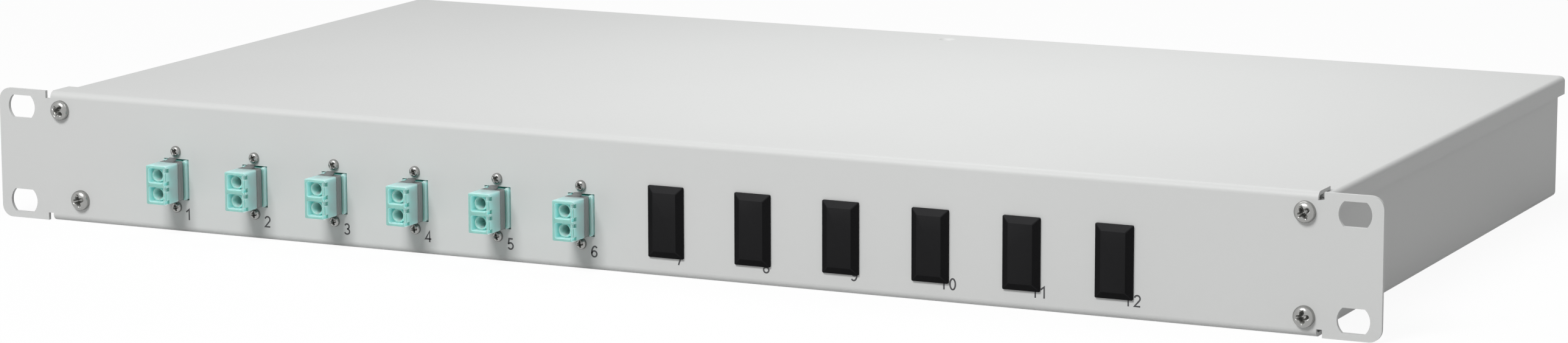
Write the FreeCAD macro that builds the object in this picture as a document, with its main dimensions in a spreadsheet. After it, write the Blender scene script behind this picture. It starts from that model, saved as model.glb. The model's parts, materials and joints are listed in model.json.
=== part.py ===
import FreeCAD, Part
import math
import os
import re
import Sketcher
from FreeCAD import Vector

# Fibre patch panel, one rack unit, 19 inch.
# The origin is the centre of the rack slot pattern on the back of the ears.
# +X is to the right seen from the front, +Y runs back into the rack and +Z is up.

SIZES = {
    # Front plate, a folded sheet with flat ears
    "panel_width": 482.6,
    "panel_height": 43.6,
    "panel_sheet": 1.2,
    "panel_bend": 2.2,
    "flange_depth": 11.0,
    "ear_width": 18.3,
    "ear_corner": 4.0,
    "relief_width": 1.9,
    "relief_depth": 2.5,
    "rack_slot_inset": 8.75,
    "rack_slot_pitch_up": 31.75,
    "rack_slot_length": 10.3,
    "rack_slot_height": 7.6,
    # Row of port cut-outs
    "port_count": 12,
    "first_port_inset": 68.9,
    "last_port_inset": 83.7,
    "port_row_up": -4.2,
    "cutout_width": 9.4,
    "cutout_height": 13.6,
    "cutout_gap": 0.2,
    "port_screw_pitch": 18.6,
    "small_slot": 2.6,
    # Screws that hold the front plate to the tray
    "plate_screw_head": 7.0,
    "plate_screw_rise": 2.4,
    "plate_screw_shank": 3.5,
    "plate_screw_reach": 7.0,
    "plate_screw_slack": 0.1,
    "plate_screw_bevel": 1.0,
    "upper_screw_inset": 24.1,
    "upper_screw_up": 15.6,
    "lower_left_screw_inset": 31.3,
    "lower_left_screw_up": -14.1,
    "lower_right_screw_inset": 23.9,
    "lower_right_screw_up": -15.7,
    # Housing tray
    "tray_inset": 19.1,
    "tray_depth": 242.0,
    "tray_sheet": 1.2,
    "tray_bend": 1.8,
    "tray_front_gap": 2.2,
    "seat_gap": 0.4,
    "rim_width": 9.0,
    "rim_setback": 4.0,
    "rear_lip_depth": 14.0,
    "tab_width": 20.0,
    "tab_root": 3.4,
    "tab_gap": 0.35,
    "entry_hole": 20.4,
    "entry_inset": 51.3,
    "entry_up": -1.0,
    # Sliding lid
    "lid_sheet": 1.0,
    "lid_bend": 1.6,
    "lid_side_gap": 0.2,
    "lid_slide_gap": 0.1,
    "lid_flange_gap": 0.1,
    "lid_front": 3.0,
    "lid_overhang": 6.0,
    "lid_drop": 6.0,
    "lid_relief": 2.0,
    "dimple_across": 6.0,
    "dimple_hole": 2.6,
    "dimple_depth": 0.8,
    "dimple_from_rear": 11.8,
    # Duplex adapters, flanged, screwed on from behind the plate
    "adapter_reach": 12.6,
    "adapter_rear": 12.0,
    "adapter_block": 6.7,
    "adapter_block_width": 7.5,
    "adapter_block_height": 12.9,
    "adapter_corner": 0.5,
    "collar_reach": 1.6,
    "adapter_flange": 1.8,
    "adapter_flange_height": 23.4,
    "adapter_flange_corner": 2.0,
    "fibre_pitch": 6.25,
    "port_height": 4.7,
    "port_width": 5.3,
    "port_depth": 8.4,
    "latch_height": 2.4,
    "latch_depth": 0.6,
    "notch_height": 1.2,
    "notch_width": 0.8,
    "notch_depth": 1.6,
    "ferrule_hole": 2.6,
    # Spring clip round each adapter's neck
    "neck_step": 0.4,
    "clip_sheet": 0.3,
    "clip_gap": 0.05,
    "clip_side_play": 0.15,
    "clip_mouth": 2.6,
    # Adapter screws, each with its nut
    "small_head": 3.9,
    "small_rise": 1.5,
    "small_shank": 2.0,
    "small_nut_flats": 4.0,
    "small_nut_height": 1.6,
    # Blanking plugs
    "plug_width": 12.2,
    "plug_height": 22.8,
    "plug_rise": 2.6,
    "plug_bevel": 1.9,
    "plug_skirt": 5.0,
    "plug_wall": 1.2,
    "plug_catch": 0.5,
    "plug_catch_width": 5.0,
    "plug_catch_run": 2.4,
    # Cable gland and the stopper of the spare entry
    "gland_flats": 24.0,
    "gland_collar": 5.5,
    "gland_thread": 20.0,
    "gland_thread_reach": 9.0,
    "gland_neck": 18.0,
    "gland_neck_reach": 6.0,
    "gland_bore": 12.0,
    "gland_cap_length": 16.0,
    "gland_cap_face": 2.5,
    "gland_cap_bevel": 1.5,
    "gland_mouth": 12.6,
    "gland_seal_hole": 10.0,
    "gland_fit": 0.1,
    "locknut_height": 5.0,
    "locknut_flats": 26.0,
    "stopper_flats": 24.0,
    "stopper_rise": 3.0,
    "stopper_reach": 6.0,
    # Splice cassette on the tray floor
    "cassette_width": 160.0,
    "cassette_length": 98.0,
    "cassette_height": 10.0,
    "cassette_wall": 1.6,
    "cassette_corner": 22.0,
    "cassette_centre": 150.0,
    "cassette_inlet": 12.0,
    "cassette_inlet_pitch": 60.0,
    "cover_sheet": 1.2,
    "comb_width": 34.0,
    "comb_length": 40.0,
    "comb_height": 5.0,
    "comb_floor": 1.2,
    "comb_groove": 2.6,
    "comb_groove_pitch": 5.6,
    "comb_offset": 38.0,
    "stud_across": 4.0,
    "stud_length": 7.0,
    "stud_gap": 0.2,
    "cassette_nut_flats": 7.0,
    "cassette_nut_height": 3.2,
    # Clips that guide the fibre loops
    "guide_across": 12.0,
    "guide_wall": 1.4,
    "guide_width": 8.0,
    "guide_mouth": 4.0,
    "guide_spot_across": 130.0,
    "guide_front_spot": 70.0,
    "guide_rear_spot": 200.0,
}
ADAPTERS = range(1, 7)
PLUGS = range(7, 13)
COMB_STEPS = (-2.5, -1.5, -0.5, 0.5, 1.5, 2.5)

CLOSE = 1e-4

doc = FreeCAD.newDocument("FibrePatchPanel")
sheet = doc.addObject("Spreadsheet::Sheet", "Sizes")
for row, (alias, number) in enumerate(SIZES.items(), start=1):
    sheet.set(f"A{row}", alias)
    sheet.set(f"B{row}", str(number))
    sheet.setAlias(f"B{row}", alias)
doc.recompute()

# Heights and depths that several pieces share, as formulas of the sheet
FRONT = "(-1 * panel_sheet)"
PANEL_TOP = "(panel_height / 2)"
PANEL_END = "(panel_width / 2)"
EAR_INNER = f"({PANEL_END} - ear_width)"
FLANGE_END = f"({EAR_INNER} - relief_width)"
RELIEF_FLOOR = "(panel_height / 2 - relief_depth)"
PORT_PITCH = "((panel_width - first_port_inset - last_port_inset) / (port_count - 1))"
TRAY_SIDE = f"({PANEL_END} - tray_inset)"
TRAY_BOTTOM = "(panel_sheet + seat_gap - panel_height / 2)"
TRAY_FLOOR = f"({TRAY_BOTTOM} + tray_sheet)"
LID_TOP = "(panel_height / 2 - panel_sheet - lid_flange_gap)"
LID_UNDER = f"({LID_TOP} - lid_sheet)"
LID_SIDE = f"({TRAY_SIDE} + lid_side_gap + lid_sheet)"
LID_REAR = "(tray_depth + lid_overhang)"
RIM_TOP = f"({LID_UNDER} - lid_slide_gap)"
REAR_TOP = f"({RIM_TOP} - dimple_depth)"
ADAPTER_FACE = "(-1 * panel_sheet - adapter_reach)"
NECK_FRONT = f"({ADAPTER_FACE} + adapter_block)"
COLLAR_FRONT = "(-1 * panel_sheet - collar_reach)"
ADAPTER_END = "(adapter_flange + adapter_rear)"
NECK_SIDE = "(adapter_block_width / 2 - neck_step)"
NECK_HALF = "(adapter_block_height / 2 - neck_step)"
CASSETTE_FLOOR = f"({TRAY_FLOOR} + cassette_wall)"
CASSETTE_TOP = f"({TRAY_FLOOR} + cassette_height)"


def bound(formula):
    """Point every size name of a formula at its cell in the sheet."""
    return re.sub(r"[a-z_]+", lambda word: "Sizes." + word.group(), formula)


def value(formula):
    """Number that a formula gives now."""
    return float(sheet.evalExpression(bound(formula)))


def minus(formula):
    return f"(-1 * ({formula}))"


# Sketch outlines: every point is held by dimensions that read the sheet

def hold(sketch, kind, formula, *places):
    """Add one dimension and bind it to a formula."""
    number = sketch.addConstraint(Sketcher.Constraint(kind, *places, value(formula)))
    sketch.setExpression(f"Constraints[{number}]", bound(formula))


def pin(sketch, element, point, across, up):
    """Hold one point of an element at its place from the sketch's origin."""
    hold(sketch, "DistanceX", across, -1, 1, element, point)
    hold(sketch, "DistanceY", up, -1, 1, element, point)


def polygon(*corners):
    """Closed straight-sided outline through corners given as pairs of formulas."""
    def draw(sketch):
        spots = [Vector(value(across), value(up), 0) for across, up in corners]
        first = sketch.GeometryCount
        for start, end in zip(spots, spots[1:] + spots[:1]):
            sketch.addGeometry(Part.LineSegment(start, end), False)
        for side, (across, up) in enumerate(corners):
            following = first + (side + 1) % len(corners)
            sketch.addConstraint(Sketcher.Constraint("Coincident", first + side, 2, following, 1))
            pin(sketch, first + side, 1, across, up)
    return draw


def rectangle(left, right, low, high):
    return polygon((left, low), (right, low), (right, high), (left, high))


def centred(width, height, across="0", up="0"):
    """Rectangle of a width and height about a centre."""
    return rectangle(f"{across} - ({width}) / 2", f"{across} + ({width}) / 2",
                     f"{up} - ({height}) / 2", f"{up} + ({height}) / 2")


def many_sided(sides, width, across="0", up="0"):
    """Regular outline inside a circle of a width, with a corner at the right."""
    angles = [2 * math.pi * number / sides for number in range(sides)]
    return polygon(*[(f"{across} + {math.cos(angle) / 2:.6f} * ({width})",
                      f"{up} + {math.sin(angle) / 2:.6f} * ({width})") for angle in angles])


def hexagon(flats, across="0", up="0"):
    return many_sided(6, f"{flats} / {math.cos(math.pi / 6):.6f}", across, up)


def disc(diameter, across="0", up="0"):
    def draw(sketch):
        middle = Vector(value(across), value(up), 0)
        ring = sketch.addGeometry(Part.Circle(middle, Vector(0, 0, 1), value(diameter) / 2), False)
        pin(sketch, ring, 3, across, up)
        hold(sketch, "Radius", f"({diameter}) / 2", ring)
    return draw


def rack_slot(across, up):
    """Round hole of the slot's length, cut flat above and below to the slot's height."""
    def draw(sketch):
        middle = Vector(value(across), value(up), 0)
        radius = value("rack_slot_length / 2")
        flat = value("rack_slot_height / 2")
        reach = (radius ** 2 - flat ** 2) ** 0.5
        corner = [middle + Vector(x, y, 0) for x, y in
                  ((reach, -flat), (reach, flat), (-reach, flat), (-reach, -flat))]
        right = sketch.addGeometry(Part.Arc(corner[0], middle + Vector(radius, 0, 0), corner[1]), False)
        top = sketch.addGeometry(Part.LineSegment(corner[1], corner[2]), False)
        left = sketch.addGeometry(Part.Arc(corner[2], middle - Vector(radius, 0, 0), corner[3]), False)
        base = sketch.addGeometry(Part.LineSegment(corner[3], corner[0]), False)
        for one, other in ((right, top), (top, left), (left, base), (base, right)):
            sketch.addConstraint(Sketcher.Constraint("Coincident", one, 2, other, 1))
        for arc in (right, left):
            pin(sketch, arc, 3, across, up)
            hold(sketch, "Radius", "rack_slot_length / 2", arc)
        for line, height in ((top, "+ rack_slot_height / 2"), (base, "- rack_slot_height / 2")):
            sketch.addConstraint(Sketcher.Constraint("Horizontal", line))
            hold(sketch, "DistanceY", f"{up} {height}", -1, 1, line, 1)
    return draw


# Features

def new_body(label):
    return doc.addObject("PartDesign::Body", label)


def origin_item(body, role):
    return next(item for item in body.Origin.OriginFeatures if item.Role == role)


def draw_on(body, role, offset, shapes):
    """Sketch on one of the body's origin planes, moved along its normal."""
    sketch = body.newObject("Sketcher::SketchObject", body.Label + "_sketch")
    sketch.AttachmentSupport = (origin_item(body, role), "")
    sketch.MapMode = "FlatFace"
    sketch.setExpression("AttachmentOffset.Base.z", bound(offset))
    for draw in shapes:
        draw(sketch)
    return sketch


def extrude(body, kind, role, offset, length, shapes, side="One side"):
    profile = draw_on(body, role, offset, shapes)
    feature = body.newObject("PartDesign::" + kind, f"{body.Label}_{kind.lower()}")
    feature.Profile = profile
    feature.setExpression("Length", bound(length))
    feature.SideType = side
    doc.recompute()
    return feature


def cut(body, role, offset, length, shapes):
    """Pocket that fails when it takes nothing away."""
    before = body.Shape.Volume
    feature = extrude(body, "Pocket", role, offset, length, shapes)
    if body.Shape.Volume > before - CLOSE:
        raise RuntimeError("a cut takes nothing from " + body.Label)
    return feature


def add_between(body, front, back, *shapes):
    """Material between two depths along Y, with its outline in X and Z."""
    return extrude(body, "Pad", "XZ_Plane", minus(back), f"({back}) - ({front})", shapes)


def cut_between(body, front, back, *shapes):
    return cut(body, "XZ_Plane", minus(front), f"({back}) - ({front})", shapes)


def add_across(body, length, *shapes):
    """Material of a length along X about the middle, with its outline in Y and Z."""
    return extrude(body, "Pad", "YZ_Plane", "0", length, shapes, "Symmetric")


def add_upright(body, low, high, *shapes):
    """Material between two heights, with its outline in X and Y."""
    return extrude(body, "Pad", "XY_Plane", low, f"({high}) - ({low})", shapes)


def cut_upright(body, low, high, *shapes):
    return cut(body, "XY_Plane", high, f"({high}) - ({low})", shapes)


def turn(body, kind, role, offset, outline):
    """Revolve an outline about the sketch's upright axis."""
    profile = draw_on(body, role, offset, [outline])
    feature = body.newObject("PartDesign::" + kind, f"{body.Label}_{kind.lower()}")
    feature.Profile = profile
    feature.ReferenceAxis = (profile, ["V_Axis"])
    feature.Angle = 360
    doc.recompute()
    return feature


def runs_along(axis, **places):
    """Test for an edge that runs along one axis at the given places on the others."""
    def test(edge):
        box = edge.BoundBox
        low = {"x": box.XMin, "y": box.YMin, "z": box.ZMin}
        high = {"x": box.XMax, "y": box.YMax, "z": box.ZMax}
        if high[axis] - low[axis] < CLOSE:
            return False
        return all(abs(end[name] - value(formula)) < CLOSE
                   for name, formula in places.items() for end in (low, high))
    return test


def both_sides(axis, across, **places):
    """Edge tests for a place and its mirror image across the middle plane."""
    return [runs_along(axis, x=side, **places) for side in (across, minus(across))]


def ends_at(back):
    """Test for an edge that lies wholly at one depth."""
    def test(edge):
        box = edge.BoundBox
        return abs(box.YMin - value(back)) < CLOSE and abs(box.YMax - value(back)) < CLOSE
    return test


def dress(body, kind, size, formula, tests):
    """Round or bevel the body's edges that meet any of the tests."""
    base = body.Tip
    edges = [f"Edge{number}" for number, edge in enumerate(base.Shape.Edges, start=1)
             if any(test(edge) for test in tests)]
    if not edges:
        raise RuntimeError("no edge to dress on " + body.Label)
    feature = body.newObject("PartDesign::" + kind, f"{body.Label}_{kind.lower()}")
    feature.Base = (base, edges)
    feature.setExpression(size, bound(formula))
    doc.recompute()
    return feature


def fillet(body, radius, *tests):
    return dress(body, "Fillet", "Radius", radius, tests)


def chamfer(body, size, *tests):
    return dress(body, "Chamfer", "Size", size, tests)


def placed(source, label, across="0", back="0", up="0"):
    """Copy of a piece moved to its own place."""
    node = doc.addObject("Part::Compound", label)
    node.Links = [source]
    for axis, formula in (("x", across), ("y", back), ("z", up)):
        node.setExpression("Placement.Base." + axis, bound(formula))
    return node


def grouped(label, pieces):
    node = doc.addObject("Part::Compound", label)
    node.Links = pieces
    return node


# Front plate

def port_across(position):
    """Place of a numbered port along the row, the first at the left."""
    return f"(first_port_inset - {PANEL_END} + {position - 1} * {PORT_PITCH})"


def plate_screw_spots():
    upper = f"({PANEL_END} - upper_screw_inset)"
    return [(minus(upper), "upper_screw_up"), (upper, "upper_screw_up"),
            (f"(lower_left_screw_inset - {PANEL_END})", "lower_left_screw_up"),
            (f"({PANEL_END} - lower_right_screw_inset)", "lower_right_screw_up")]


def plate_screw_holes():
    return [disc("plate_screw_shank + 2 * plate_screw_slack", across, up)
            for across, up in plate_screw_spots()]


def small_slots(across, up):
    """Pair of square slots for the adapter screws, above and below a port."""
    return [centred("small_slot", "small_slot", across, f"{up} {side} port_screw_pitch / 2") for side in "+-"]


def make_front_plate():
    """Folded channel for the middle, flat ears, rack slots, port cut-outs and screw holes."""
    body = new_body("front_plate")
    rear = f"({FRONT} + flange_depth)"
    inside = f"({PANEL_TOP} - panel_sheet)"
    add_across(body, f"2 * {FLANGE_END}", polygon(
        (FRONT, minus(PANEL_TOP)), (FRONT, PANEL_TOP), (rear, PANEL_TOP), (rear, inside),
        ("0", inside), ("0", minus(inside)), (rear, minus(inside)), (rear, minus(PANEL_TOP))))
    for radius, back, height in (("panel_bend", FRONT, PANEL_TOP), ("panel_bend - panel_sheet", "0", inside)):
        fillet(body, radius, runs_along("x", y=back, z=height), runs_along("x", y=back, z=minus(height)))
    root = f"({FLANGE_END} - ear_corner)"
    ear = [(root, minus(RELIEF_FLOOR)), (EAR_INNER, minus(RELIEF_FLOOR)), (EAR_INNER, minus(PANEL_TOP)),
           (PANEL_END, minus(PANEL_TOP)), (PANEL_END, PANEL_TOP), (EAR_INNER, PANEL_TOP),
           (EAR_INNER, RELIEF_FLOOR), (root, RELIEF_FLOOR)]
    add_between(body, FRONT, "0", polygon(*ear),
                polygon(*[(minus(across), up) for across, up in ear]))
    fillet(body, "ear_corner", *both_sides("y", PANEL_END, z=PANEL_TOP),
           *both_sides("y", PANEL_END, z=minus(PANEL_TOP)))
    slot = f"({PANEL_END} - rack_slot_inset)"
    cut_between(body, FRONT, "0", *[rack_slot(across, f"rack_slot_pitch_up / {half}")
                                    for across in (slot, minus(slot)) for half in (2, -2)])
    cut_between(body, FRONT, "0", *plate_screw_holes())
    first = port_across(1)
    cutout = cut_between(body, FRONT, "0", centred("cutout_width", "cutout_height", first, "port_row_up"),
                         *small_slots(first, "port_row_up"))
    ports = body.newObject("PartDesign::LinearPattern", "port_row")
    ports.Originals = [cutout]
    ports.Direction = (origin_item(body, "X_Axis"), [""])
    ports.setExpression("Length", bound(f"{PORT_PITCH} * (port_count - 1)"))
    ports.setExpression("Occurrences", bound("port_count"))
    body.Tip = ports
    doc.recompute()
    return body


# Housing tray

def entry_spots():
    """Cable entries in the rear wall; the first holds the gland and the second is stopped."""
    right = f"({PANEL_END} - entry_inset)"
    return [minus(right), right]


def make_tray():
    """Folded floor and sides with inward rims, rear wall with its lip, and front tabs for the screws."""
    body = new_body("housing_tray")
    inner = f"({TRAY_SIDE} - tray_sheet)"
    rim = f"({TRAY_SIDE} - rim_width)"
    rim_under = f"({RIM_TOP} - tray_sheet)"
    right = [(TRAY_SIDE, TRAY_BOTTOM), (TRAY_SIDE, RIM_TOP), (rim, RIM_TOP), (rim, rim_under),
             (inner, rim_under), (inner, TRAY_FLOOR)]
    left = [(minus(across), up) for across, up in reversed(right)]
    add_between(body, "tray_front_gap", "tray_depth", polygon(*right, *left))
    fillet(body, "tray_bend", *both_sides("y", TRAY_SIDE, z=TRAY_BOTTOM),
           *both_sides("y", TRAY_SIDE, z=RIM_TOP))
    fillet(body, "tray_bend - tray_sheet", *both_sides("y", inner, z=TRAY_FLOOR),
           *both_sides("y", inner, z=rim_under))
    bend = f"({TRAY_SIDE} - tray_bend)"
    rim_cut = (f"{rim_under} - tray_sheet", f"{RIM_TOP} + tray_sheet")
    cut_between(body, "tray_front_gap", "rim_setback", rectangle(f"{rim} - tray_sheet", bend, *rim_cut),
                rectangle(minus(bend), f"tray_sheet - {rim}", *rim_cut))
    wall_side = f"({TRAY_SIDE} - tray_sheet / 2)"
    wall_front = "(tray_depth - tray_sheet)"
    add_between(body, wall_front, "tray_depth",
                rectangle(minus(wall_side), wall_side, f"{TRAY_BOTTOM} + tray_sheet / 2", REAR_TOP))
    lip_side = f"({rim} - tray_sheet)"
    add_between(body, "tray_depth - rear_lip_depth", "tray_depth",
                rectangle(minus(lip_side), lip_side, f"{REAR_TOP} - tray_sheet", REAR_TOP))
    tab = [(TRAY_SIDE, "0"), (TRAY_SIDE, "tab_root"), (inner, "tab_root"), (inner, "tray_sheet"),
           (f"{TRAY_SIDE} - tab_width", "tray_sheet"), (f"{TRAY_SIDE} - tab_width", "0")]
    add_upright(body, f"{TRAY_FLOOR} + tab_gap", f"{RIM_TOP} - tab_gap",
                polygon(*tab), polygon(*[(minus(across), back) for across, back in tab]))
    fillet(body, "tray_bend", *both_sides("z", TRAY_SIDE, y="0"))
    cut_between(body, "0", "tray_sheet", *plate_screw_holes())
    cut_between(body, wall_front, "tray_depth", *[disc("entry_hole", across, "entry_up")
                                                  for across in entry_spots()])
    return body


# Sliding lid

def make_lid():
    """Top sheet with side and rear flanges, open corners at the rear and a pierced dimple."""
    body = new_body("lid")
    low = f"({LID_TOP} - lid_drop)"
    inner = f"({LID_SIDE} - lid_sheet)"
    add_between(body, "lid_front", LID_REAR, polygon(
        (minus(LID_SIDE), low), (minus(inner), low), (minus(inner), LID_UNDER), (inner, LID_UNDER),
        (inner, low), (LID_SIDE, low), (LID_SIDE, LID_TOP), (minus(LID_SIDE), LID_TOP)))
    rear_inner = f"({LID_REAR} - lid_sheet)"
    add_between(body, rear_inner, LID_REAR, rectangle(minus(inner), inner, low, LID_TOP))
    gap = f"({LID_SIDE} - lid_relief)"
    outside = f"({LID_SIDE} + lid_relief)"
    corner = (f"{LID_REAR} - lid_relief", f"{LID_REAR} + lid_relief")
    cut_upright(body, f"{low} - lid_sheet", f"{LID_TOP} + lid_sheet",
                rectangle(gap, outside, *corner), rectangle(minus(outside), minus(gap), *corner))
    fillet(body, "lid_bend", *both_sides("y", LID_SIDE, z=LID_TOP), runs_along("x", y=LID_REAR, z=LID_TOP))
    fillet(body, "lid_bend - lid_sheet", *both_sides("y", inner, z=LID_UNDER),
           runs_along("x", y=rear_inner, z=LID_UNDER))
    spot = f"dimple_from_rear - {LID_REAR}"
    dish = f"({LID_UNDER} - dimple_depth)"
    middle = f"({LID_UNDER} + lid_sheet / 2)"
    turn(body, "Revolution", "XZ_Plane", spot, polygon(
        ("0", middle), ("dimple_across / 2 + lid_sheet / 2", middle),
        ("dimple_hole / 2 + lid_sheet", dish), ("0", dish)))
    turn(body, "Groove", "XZ_Plane", spot, polygon(
        ("0", dish), ("dimple_hole / 2", dish), ("dimple_hole / 2", f"{dish} + lid_sheet / 2"),
        ("dimple_across / 2", LID_TOP), ("0", LID_TOP)))
    return body


# Adapters

def fibres():
    """Heights of the two fibres from the middle of an adapter."""
    return ["fibre_pitch / 2", "fibre_pitch / -2"]


def port_outline(up):
    """Socket of one fibre with the channel for the connector's latch on its right."""
    left = "port_width / -2"
    right = "port_width / 2"
    latch = "port_width / 2 + latch_depth"
    return polygon((left, f"{up} - port_height / 2"), (right, f"{up} - port_height / 2"),
                   (right, f"{up} - latch_height / 2"), (latch, f"{up} - latch_height / 2"),
                   (latch, f"{up} + latch_height / 2"), (right, f"{up} + latch_height / 2"),
                   (right, f"{up} + port_height / 2"), (left, f"{up} + port_height / 2"))


def make_adapter():
    """Front block, neck for the clip, collar through the plate, screw flange and rear block.

    A socket for a connector opens at each end, and six-sided holes for the ferrules join them.
    """
    body = new_body("adapter")
    block = centred("adapter_block_width", "adapter_block_height")
    add_between(body, ADAPTER_FACE, NECK_FRONT, block)
    add_between(body, NECK_FRONT, COLLAR_FRONT, centred(f"2 * {NECK_SIDE}", f"2 * {NECK_HALF}"))
    add_between(body, COLLAR_FRONT, "0",
                centred("cutout_width - 2 * cutout_gap", "cutout_height - 2 * cutout_gap"))
    add_between(body, "0", "adapter_flange", centred("cutout_width", "adapter_flange_height"))
    add_between(body, "adapter_flange", ADAPTER_END, block)
    side = "adapter_block_width / 2"
    top = "adapter_block_height / 2"
    chamfer(body, "adapter_corner", *both_sides("y", side, z=top), *both_sides("y", side, z=minus(top)))
    wing = "cutout_width / 2"
    wing_top = "adapter_flange_height / 2"
    chamfer(body, "adapter_flange_corner", *both_sides("y", wing, z=wing_top),
            *both_sides("y", wing, z=minus(wing_top)))
    notch_start = "port_screw_pitch / 2 - small_slot / 2"
    cut_between(body, "0", "adapter_flange",
                rectangle("small_slot / -2", "small_slot / 2", notch_start, wing_top),
                rectangle("small_slot / -2", "small_slot / 2", minus(wing_top), minus(notch_start)))
    front_floor = f"({ADAPTER_FACE} + port_depth)"
    rear_floor = f"({ADAPTER_END} - port_depth)"
    ports = [port_outline(up) for up in fibres()]
    cut_between(body, ADAPTER_FACE, front_floor, *ports)
    cut_between(body, rear_floor, ADAPTER_END, *ports)
    notch_rows = ("0", "fibre_pitch - notch_height", "notch_height - fibre_pitch")
    cut_between(body, ADAPTER_FACE, f"{ADAPTER_FACE} + notch_depth", *[
        rectangle(f"{side} - notch_width", side, f"{up} - notch_height / 2", f"{up} + notch_height / 2")
        for up in notch_rows])
    cut_between(body, front_floor, rear_floor, *[hexagon("ferrule_hole", "0", up) for up in fibres()])
    return body


def open_band(side, base, top, wall, mouth):
    """Outline of a rectangular band of sheet, open at the middle of its top."""
    inner = f"({side} - {wall})"
    floor = f"({base} + {wall})"
    roof = f"({top} - {wall})"
    half = f"({mouth} / 2)"
    right = [(inner, floor), (inner, roof), (half, roof), (half, top), (side, top), (side, base)]
    return polygon(*right, *[(minus(across), up) for across, up in reversed(right)])


def make_clip():
    """Spring steel band round the neck, open at the top."""
    body = new_body("adapter_clip")
    side = f"({NECK_SIDE} + clip_gap + clip_sheet)"
    top = f"({NECK_HALF} + clip_gap + clip_sheet)"
    add_between(body, f"{NECK_FRONT} + clip_side_play", f"{COLLAR_FRONT} - clip_side_play",
                open_band(side, minus(top), top, "clip_sheet", "clip_mouth"))
    return body


# Screws

def make_plate_screw():
    """Screw along Y, its bevelled head on the front plate and its shank with twelve narrow sides."""
    body = new_body("front_plate_screw")
    top = f"({FRONT} - plate_screw_rise)"
    add_between(body, top, FRONT, disc("plate_screw_head"))
    chamfer(body, "plate_screw_bevel", ends_at(top))
    add_between(body, FRONT, "plate_screw_reach", many_sided(12, "plate_screw_shank"))
    return body


def make_small_screw():
    """Adapter screw with its nut, straight-sided all over so that the twelve copies stay light."""
    body = new_body("adapter_screw")
    add_between(body, f"{FRONT} - small_rise", FRONT, many_sided(12, "small_head"))
    add_between(body, FRONT, "adapter_flange", hexagon("small_shank"))
    add_between(body, "adapter_flange", "adapter_flange + small_nut_height", hexagon("small_nut_flats"))
    return body


# Blanking plugs

def make_plug():
    """Bevelled cap over an empty cut-out, with a hollow skirt and a catch above and below."""
    body = new_body("blank_plug")
    face = f"({FRONT} - plug_rise)"
    add_between(body, face, FRONT, centred("plug_width", "plug_height"))
    chamfer(body, "plug_bevel", ends_at(face))
    width = "(cutout_width - 2 * cutout_gap)"
    height = "(cutout_height - 2 * cutout_gap)"
    add_between(body, FRONT, "plug_skirt", centred(width, height),
                centred(f"{width} - 2 * plug_wall", f"{height} - 2 * plug_wall"))
    wall = f"{height} / 2"
    catch_end = "cutout_gap + plug_catch_run"
    catch = [("cutout_gap", f"{wall} - plug_wall / 2"), ("cutout_gap", f"{wall} + plug_catch"),
             (catch_end, wall), (catch_end, f"{wall} - plug_wall / 2")]
    add_across(body, "plug_catch_width", polygon(*catch), polygon(*[(back, minus(up)) for back, up in catch]))
    return body


# Cable gland and stopper in the rear wall

def make_gland():
    """Gland body, cap nut, seal and locknut at the first cable entry."""
    at = (entry_spots()[0], "entry_up")
    inner = "(tray_depth - tray_sheet)"
    collar_end = "(tray_depth + gland_collar)"
    neck_end = f"({collar_end} + gland_neck_reach)"
    cap_end = f"({collar_end} + gland_cap_length)"
    cap_inside = f"({cap_end} - gland_cap_face)"
    bore = disc("gland_bore", *at)
    core = new_body("gland_body")
    add_between(core, "tray_depth", collar_end, hexagon("gland_flats", *at), bore)
    add_between(core, f"{inner} - gland_thread_reach", "tray_depth", disc("gland_thread", *at), bore)
    add_between(core, collar_end, neck_end, disc("gland_neck", *at), bore)
    cap = new_body("gland_cap_nut")
    add_between(cap, collar_end, cap_end, hexagon("gland_flats", *at))
    chamfer(cap, "gland_cap_bevel", ends_at(cap_end))
    cut_between(cap, collar_end, cap_inside, disc("gland_neck + 2 * gland_fit", *at))
    cut_between(cap, cap_inside, cap_end, disc("gland_mouth", *at))
    seal = new_body("gland_seal")
    add_between(seal, neck_end, cap_inside, many_sided(12, "gland_neck", *at), disc("gland_seal_hole", *at))
    locknut = new_body("gland_locknut")
    add_between(locknut, f"{inner} - locknut_height", inner, hexagon("locknut_flats", *at),
                disc("gland_thread + 2 * gland_fit", *at))
    return [core, cap, seal, locknut]


def make_stopper():
    """Six-sided head on a stem with twelve narrow sides, in the spare cable entry."""
    body = new_body("entry_stopper")
    at = (entry_spots()[1], "entry_up")
    add_between(body, "tray_depth", "tray_depth + stopper_rise", hexagon("stopper_flats", *at))
    add_between(body, "tray_depth - stopper_reach", "tray_depth",
                many_sided(12, "entry_hole - 2 * gland_fit", *at))
    return body


# Splice cassette and what goes with it

def cassette_corners(width, length):
    """Upright corner edges of a rectangle about the cassette's centre."""
    ends = [f"cassette_centre {side} ({length}) / 2" for side in "+-"]
    return [test for end in ends for test in both_sides("z", f"({width}) / 2", y=end)]


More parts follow.
